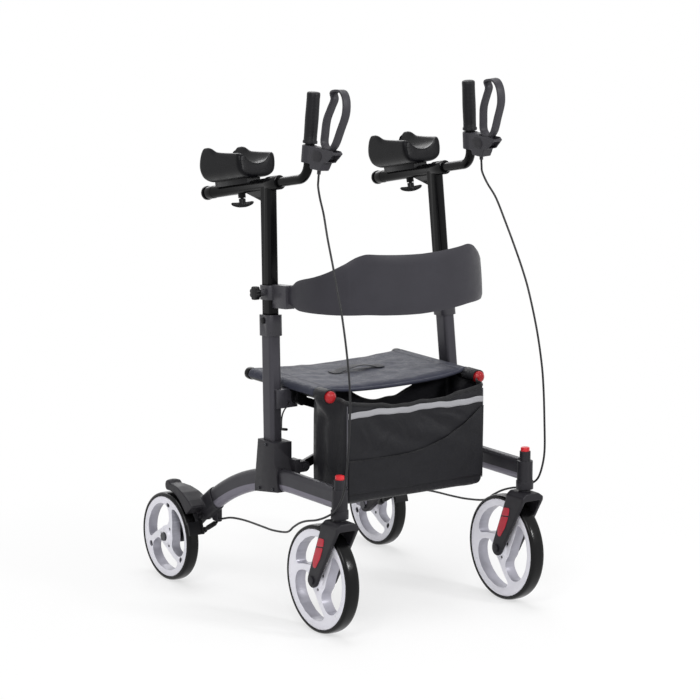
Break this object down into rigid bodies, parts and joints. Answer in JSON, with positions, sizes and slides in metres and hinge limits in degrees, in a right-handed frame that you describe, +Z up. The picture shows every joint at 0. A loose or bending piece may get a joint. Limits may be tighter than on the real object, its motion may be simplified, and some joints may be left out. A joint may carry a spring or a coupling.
{
  "type": "upright walker",
  "caption": "Folding four-wheeled walker with upright forearm rests, hand brakes, sling seat, tote bag and curved back strap.",
  "frame": {"origin": "middle of the footprint, on the floor", "axes": "+Z up, -Y to the front of the walker, +X to the user's left"},
  "size_m": [0.66, 0.833, 1.2483],
  "materials": {
    "frame_paint": "satin gunmetal paint",
    "black_metal": "gloss black paint",
    "black_plastic": "moulded black nylon",
    "grey_plastic": "moulded dark grey plastic",
    "red_plastic": "moulded red plastic",
    "rim_silver": "silver-white moulded rim",
    "tyre": "black tyre",
    "steel": "zinc-plated steel",
    "grip_rubber": "soft black grip",
    "pad_foam": "skinned black foam",
    "cable_jacket": "black cable jacket",
    "strap": "charcoal padded strap",
    "seat_fabric": "woven charcoal nylon",
    "bag_fabric": "black woven polyester"
  },
  "bodies": {
    "frame_right": {"beam_right": "frame_paint", "caster_housing_right": "black_plastic", "rear_bracket_right": "black_plastic", "brake_cable_right": "cable_jacket", "post_bracket_right": "black_plastic", "frame_bolts_right": "steel", "lower_post_right": "frame_paint", "post_fittings_right": "black_plastic"},
    "post_right": {"upper_post_right": "black_metal", "arm_pad_right": "pad_foam"},
    "handle_right": {"handle_tube_right": "black_metal", "hand_grip_right": "grip_rubber", "brake_housing_right": "grey_plastic"},
    "lever_right": {"brake_lever_right": "grey_plastic"},
    "wing_right": {"wing_knob_right": "black_plastic"},
    "clamp_right": {"back_clamp_right": "black_plastic", "back_strap": "strap"},
    "clamp_knob_right": {"back_knob_right": "black_plastic"},
    "caster_right": {"caster_fork_right": "black_plastic"},
    "front_wheel_right": {"front_rim_right": "rim_silver", "front_tyre_right": "tyre"},
    "rear_wheel_right": {"rear_rim_right": "rim_silver", "rear_tyre_right": "tyre"},
    "shoe_right": {"brake_arm_right": "grey_plastic"},
    "release_right": {"caster_button_right": "red_plastic"},
    "height_pin_right": {"height_button_right": "black_plastic"},
    "rail_right": {"seat_rail_right": "black_metal", "rail_cap_right": "red_plastic", "seat_sling": "seat_fabric", "tote_bag": "bag_fabric"},
    "frame_left": {"beam_left": "frame_paint", "caster_housing_left": "black_plastic", "rear_bracket_left": "black_plastic", "brake_cable_left": "cable_jacket", "post_bracket_left": "black_plastic", "frame_bolts_left": "steel", "lower_post_left": "frame_paint", "post_fittings_left": "black_plastic"},
    "post_left": {"upper_post_left": "black_metal", "arm_pad_left": "pad_foam"},
    "handle_left": {"handle_tube_left": "black_metal", "hand_grip_left": "grip_rubber", "brake_housing_left": "grey_plastic"},
    "lever_left": {"brake_lever_left": "grey_plastic"},
    "wing_left": {"wing_knob_left": "black_plastic"},
    "clamp_left": {"back_clamp_left": "black_plastic"},
    "clamp_knob_left": {"back_knob_left": "black_plastic"},
    "caster_left": {"caster_fork_left": "black_plastic"},
    "front_wheel_left": {"front_rim_left": "rim_silver", "front_tyre_left": "tyre"},
    "rear_wheel_left": {"rear_rim_left": "rim_silver", "rear_tyre_left": "tyre"},
    "shoe_left": {"brake_arm_left": "grey_plastic"},
    "release_left": {"caster_button_left": "red_plastic"},
    "height_pin_left": {"height_button_left": "black_plastic"},
    "rail_left": {"seat_rail_left": "black_metal", "rail_cap_left": "red_plastic"},
    "brace_a": {"brace_bar_a": "black_metal", "brace_bolt": "steel"},
    "brace_b": {"brace_bar_b": "black_metal"}
  },
  "joints": [
    {"name": "fold", "type": "hinge", "parent": "frame_right", "child": "brace_a", "pos_m": [-0.212, -0.1195, 0.355], "axis": [0, -1, 0], "range_deg": [0, 50], "deforming": ["seat_sling", "tote_bag", "back_strap"]},
    {"name": "brace_cross", "type": "hinge", "parent": "brace_a", "child": "brace_b", "pos_m": [0, -0.1195, 0.4325], "axis": [0, -1, 0], "range_deg": [-100, 0]},
    {"name": "frame_close", "type": "hinge", "parent": "brace_b", "child": "frame_left", "pos_m": [0.212, -0.1195, 0.355], "axis": [0, -1, 0], "range_deg": [0, 50]},
    {"name": "rail_left_level", "type": "hinge", "parent": "brace_a", "child": "rail_left", "pos_m": [0.212, -0.1195, 0.51], "axis": [0, -1, 0], "range_deg": [-50, 0]},
    {"name": "rail_right_level", "type": "hinge", "parent": "brace_b", "child": "rail_right", "pos_m": [-0.212, -0.1195, 0.51], "axis": [0, -1, 0], "range_deg": [0, 50]},
    {"name": "post_height_right", "type": "slide", "parent": "frame_right", "child": "post_right", "axis": [0.0365, 0.0845, 0.9958], "range_m": [-0.01, 0.12], "deforming": ["brake_cable_right"]},
    {"name": "back_clamp_slide_right", "type": "slide", "parent": "post_right", "child": "clamp_right", "axis": [0.0365, 0.0845, 0.9958], "range_m": [0, 0.12]},
    {"name": "handle_slide_right", "type": "slide", "parent": "post_right", "child": "handle_right", "axis": [0.0368, -0.9795, 0.1981], "range_m": [-0.03, 0.07]},
    {"name": "brake_lever_right", "type": "hinge", "parent": "handle_right", "child": "lever_right", "pos_m": [-0.22568, -0.25314, 1.09236], "axis": [-0.9973, -0.0233, 0.0699], "range_deg": [0, 16], "stiffness_Nm_per_rad": 2},
    {"name": "brake_shoe_right", "type": "hinge", "parent": "frame_right", "child": "shoe_right", "pos_m": [-0.307, 0.20336, 0.17374], "axis": [1, 0, 0], "range_deg": [0, 3.2]},
    {"name": "wing_knob_right", "type": "hinge", "parent": "post_right", "child": "wing_right", "pos_m": [-0.24226, 0.08178, 0.95389], "axis": [0.0325, 0.1993, 0.9794], "range_deg": [0, 360]},
    {"name": "back_knob_right", "type": "hinge", "parent": "clamp_right", "child": "clamp_knob_right", "pos_m": [-0.27631, -0.04316, 0.75662], "axis": [0.9993, 0, -0.0366], "range_deg": [0, 360]},
    {"name": "caster_swivel_right", "type": "hinge", "parent": "frame_right", "child": "caster_right", "pos_m": [-0.264, -0.3575, 0.3], "axis": [0, 0, 1], "continuous": true},
    {"name": "front_wheel_spin_right", "type": "hinge", "parent": "caster_right", "child": "front_wheel_right", "pos_m": [-0.264, -0.2895, 0.127], "axis": [1, 0, 0], "continuous": true},
    {"name": "rear_wheel_spin_right", "type": "hinge", "parent": "frame_right", "child": "rear_wheel_right", "pos_m": [-0.307, 0.3085, 0.108], "axis": [1, 0, 0], "continuous": true},
    {"name": "caster_release_right", "type": "slide", "parent": "frame_right", "child": "release_right", "axis": [0, 0, -1], "range_m": [0, 0.002], "stiffness_N_per_m": 800},
    {"name": "height_release_right", "type": "slide", "parent": "frame_right", "child": "height_pin_right", "axis": [0.9993, 0, -0.0366], "range_m": [0, 0.002], "stiffness_N_per_m": 800},
    {"name": "post_height_left", "type": "slide", "parent": "frame_left", "child": "post_left", "axis": [-0.0365, 0.0845, 0.9958], "range_m": [-0.01, 0.12], "deforming": ["brake_cable_left"]},
    {"name": "back_clamp_slide_left", "type": "slide", "parent": "post_left", "child": "clamp_left", "axis": [-0.0365, 0.0845, 0.9958], "range_m": [0, 0.12]},
    {"name": "handle_slide_left", "type": "slide", "parent": "post_left", "child": "handle_left", "axis": [-0.0368, -0.9795, 0.1981], "range_m": [-0.03, 0.07]},
    {"name": "brake_lever_left", "type": "hinge", "parent": "handle_left", "child": "lever_left", "pos_m": [0.22568, -0.25314, 1.09236], "axis": [-0.9973, 0.0233, -0.0699], "range_deg": [0, 16], "stiffness_Nm_per_rad": 2},
    {"name": "brake_shoe_left", "type": "hinge", "parent": "frame_left", "child": "shoe_left", "pos_m": [0.307, 0.20336, 0.17374], "axis": [1, 0, 0], "range_deg": [0, 3.2]},
    {"name": "wing_knob_left", "type": "hinge", "parent": "post_left", "child": "wing_left", "pos_m": [0.24226, 0.08178, 0.95389], "axis": [0.0325, -0.1993, -0.9794], "range_deg": [0, 360]},
    {"name": "back_knob_left", "type": "hinge", "parent": "clamp_left", "child": "clamp_knob_left", "pos_m": [0.27631, -0.04316, 0.75662], "axis": [0.9993, 0, 0.0366], "range_deg": [0, 360]},
    {"name": "caster_swivel_left", "type": "hinge", "parent": "frame_left", "child": "caster_left", "pos_m": [0.264, -0.3575, 0.3], "axis": [0, 0, 1], "continuous": true},
    {"name": "front_wheel_spin_left", "type": "hinge", "parent": "caster_left", "child": "front_wheel_left", "pos_m": [0.264, -0.2895, 0.127], "axis": [1, 0, 0], "continuous": true},
    {"name": "rear_wheel_spin_left", "type": "hinge", "parent": "frame_left", "child": "rear_wheel_left", "pos_m": [0.307, 0.3085, 0.108], "axis": [1, 0, 0], "continuous": true},
    {"name": "caster_release_left", "type": "slide", "parent": "frame_left", "child": "release_left", "axis": [0, 0, -1], "range_m": [0, 0.002], "stiffness_N_per_m": 800},
    {"name": "height_release_left", "type": "slide", "parent": "frame_left", "child": "height_pin_left", "axis": [-0.9993, 0, -0.0366], "range_m": [0, 0.002], "stiffness_N_per_m": 800}
  ],
  "couplings": [
    {"joint": "brace_cross", "follows": "fold", "ratio": -2},
    {"joint": "frame_close", "follows": "fold", "ratio": 1},
    {"joint": "rail_left_level", "follows": "fold", "ratio": -1},
    {"joint": "rail_right_level", "follows": "fold", "ratio": 1},
    {"joint": "brake_shoe_right", "follows": "brake_lever_right", "ratio": 0.2},
    {"joint": "brake_shoe_left", "follows": "brake_lever_left", "ratio": 0.2},
    {"joint": "post_height_left", "follows": "post_height_right", "ratio": 1},
    {"joint": "back_clamp_slide_left", "follows": "back_clamp_slide_right", "ratio": 1}
  ]
}
